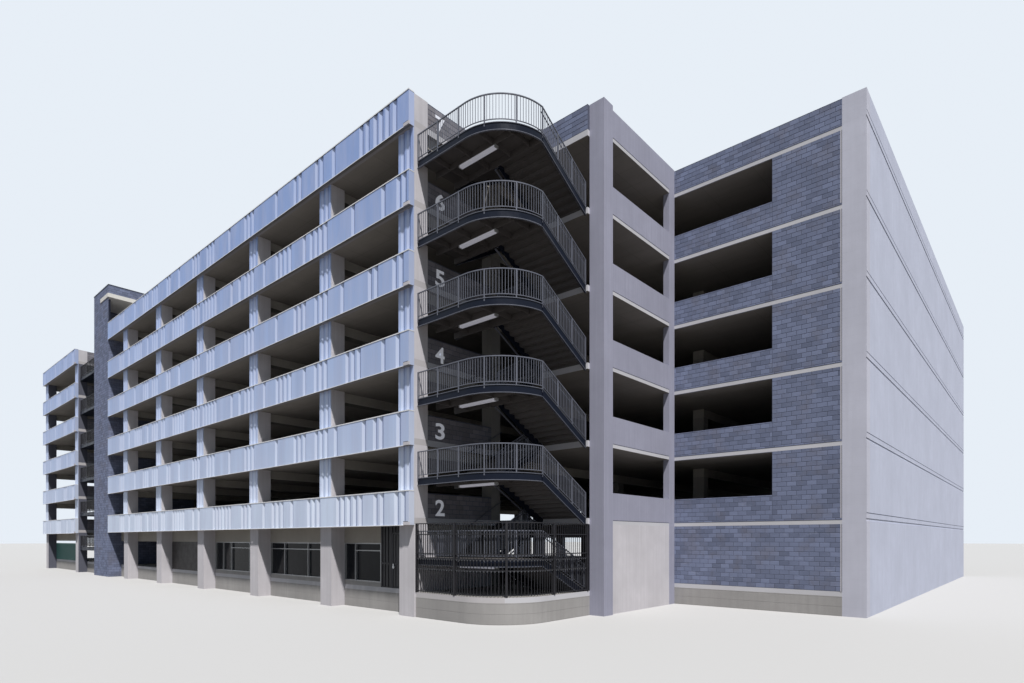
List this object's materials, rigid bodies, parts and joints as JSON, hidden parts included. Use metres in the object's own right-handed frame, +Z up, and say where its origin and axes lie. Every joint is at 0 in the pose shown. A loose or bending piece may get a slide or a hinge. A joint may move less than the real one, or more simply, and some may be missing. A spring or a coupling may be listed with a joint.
{
  "type": "multi storey car park, 1:2 scale model",
  "caption": "Open-sided parking building with folded metal bands, block stair and lift walls, steel stairs and a hinged pedestrian gate, as a half-size model.",
  "frame": {"origin": "on the ground under the middle of the building's box", "axes": "+X along the street towards the blank wall, +Y from the street into the building, +Z up"},
  "size_m": [38.085, 24.14, 12.15],
  "materials": {
    "cast_concrete": "board marked cast concrete",
    "smooth_concrete": "pale smooth concrete",
    "floor_concrete": "trowelled concrete",
    "block": "dark blue-grey masonry blocks",
    "folded_metal": "silvery pale blue coating",
    "roof_edge": "off-white render",
    "stair_steel": "satin near-black",
    "gate_steel": "satin near-black",
    "shopfront": "dark anodised",
    "dark_glass": "dark tinted",
    "grille": "dark slatted steel",
    "screen": "teal green",
    "lamp": "white diffuser"
  },
  "bodies": {
    "building": {"base_walls": "cast_concrete", "column_footings": "cast_concrete", "ground_floor_slab": "floor_concrete", "floor_beams": "cast_concrete", "columns": "cast_concrete", "street_piers": "cast_concrete", "rear_piers": "cast_concrete", "street_spandrels": "cast_concrete", "rear_spandrels": "cast_concrete", "left_end_spandrels": "cast_concrete", "pier_cladding": "folded_metal", "notch_piers": "cast_concrete", "notch_spandrels": "cast_concrete", "right_wall": "smooth_concrete", "right_corner_pier": "smooth_concrete", "block_sill_walls": "block", "block_wall_panels": "block", "stair_side_block_walls": "block", "ground_side_walls": "cast_concrete", "tower_walls": "block", "tower_roof": "roof_edge", "tower_parapet": "block", "corner_stair_treads": "stair_steel", "corner_stair_stringers": "stair_steel", "corner_stair_landings": "stair_steel", "corner_stair_landing_guards": "stair_steel", "corner_stair_flight_guards": "stair_steel", "corner_stair_lights": "lamp", "west_stair_treads": "stair_steel", "west_stair_stringers": "stair_steel", "west_stair_landings": "stair_steel", "west_stair_landing_guards": "stair_steel", "security_fence": "gate_steel", "shop_headers": "cast_concrete", "shop_curbs": "cast_concrete", "shopfront_frames": "shopfront", "shopfront_glass": "dark_glass", "roller_grille": "grille", "ground_screen": "screen", "gate_posts": "gate_steel", "gate_head": "gate_steel", "deck_level_2": "floor_concrete", "metal_band_level_2": "folded_metal", "deck_level_3": "floor_concrete", "metal_band_level_3": "folded_metal", "deck_level_4": "floor_concrete", "metal_band_level_4": "folded_metal", "deck_level_5": "floor_concrete", "metal_band_level_5": "folded_metal", "deck_level_6": "floor_concrete", "metal_band_level_6": "folded_metal", "deck_roof": "floor_concrete", "metal_band_roof": "folded_metal"},
    "corner_gate": {"corner_gate_leaf": "gate_steel"}
  },
  "joints": [
    {"name": "corner_gate_hinge", "type": "hinge", "parent": "building", "child": "corner_gate", "pos_m": [11.7065, -11.5833, 1.102], "axis": [0, 0, 1], "range_deg": [0, 90]}
  ]
}
